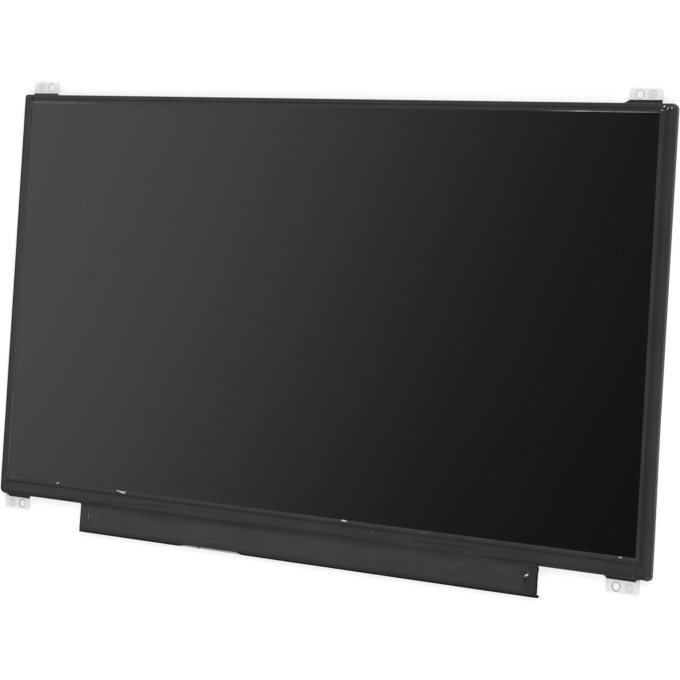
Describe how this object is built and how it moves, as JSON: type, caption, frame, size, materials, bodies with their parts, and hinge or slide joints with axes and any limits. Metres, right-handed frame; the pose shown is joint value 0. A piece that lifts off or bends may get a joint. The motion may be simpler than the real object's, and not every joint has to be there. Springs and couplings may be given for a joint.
{
  "type": "laptop screen panel",
  "caption": "Slim bare laptop screen module: dark glass face, black taped border, fixing ears at the corners and a driver board under film along its lower edge.",
  "frame": {"origin": "centre of the active area, on the plane of the rear cover that the panel lies on", "axes": "+X along the width, +Y towards the upper edge of the picture, +Z the way the screen faces"},
  "size_m": [0.3054, 0.1965, 0.0036],
  "materials": {
    "stamped_aluminium": "satin rolled sheet",
    "black_film": "satin black film",
    "screen_face": "anti-glare dark polariser",
    "cell_glass": "thin clear glass",
    "polariser_film": "smoked film",
    "white_moulding": "moulded white",
    "white_reflector": "white sheet",
    "clear_acrylic": "clear sheet",
    "optical_film": "frosted film",
    "foam_tape": "thin black foam",
    "amber_flex": "amber flexible circuit",
    "lamp_body": "white moulding with a yellow window",
    "board_laminate": "green solder mask",
    "chip_moulding": "black moulding",
    "connector_resin": "ivory moulding",
    "plated_contact": "gold plating",
    "plated_shell": "tin plated sheet",
    "ferrite": "dark grey ferrite",
    "ceramic_body": "tan ceramic with tinned ends",
    "resistor_body": "black body with tinned ends"
  },
  "bodies": {
    "root": {"rear_cover": "stamped_aluminium", "reflector_sheet": "white_reflector", "light_guide_plate": "clear_acrylic", "diffuser_sheet": "optical_film", "lower_prism_sheet": "optical_film", "upper_prism_sheet": "optical_film", "led_flex_strip": "amber_flex", "led_packages": "lamp_body", "mould_frame": "white_moulding", "cell_mount_tape": "foam_tape", "rear_polariser": "polariser_film", "tft_glass": "cell_glass", "colour_filter_glass": "cell_glass", "front_polariser": "screen_face", "source_film_left": "amber_flex", "source_film_centre": "amber_flex", "source_film_right": "amber_flex", "source_chip_left": "chip_moulding", "source_chip_centre": "chip_moulding", "source_chip_right": "chip_moulding", "driver_board": "board_laminate", "display_connector": "connector_resin", "connector_shell": "plated_shell", "connector_contacts": "plated_contact", "backlight_connector": "connector_resin", "timing_chip": "chip_moulding", "power_chip": "chip_moulding", "led_driver_chip": "chip_moulding", "memory_chip": "chip_moulding", "power_inductors": "ferrite", "rectifier_diodes": "resistor_body", "input_fuse": "ceramic_body", "ceramic_capacitors": "ceramic_body", "chip_resistors": "resistor_body", "tape_left": "black_film", "tape_right": "black_film", "tape_top": "black_film", "lower_cover_tape": "black_film"}
  },
  "joints": []
}
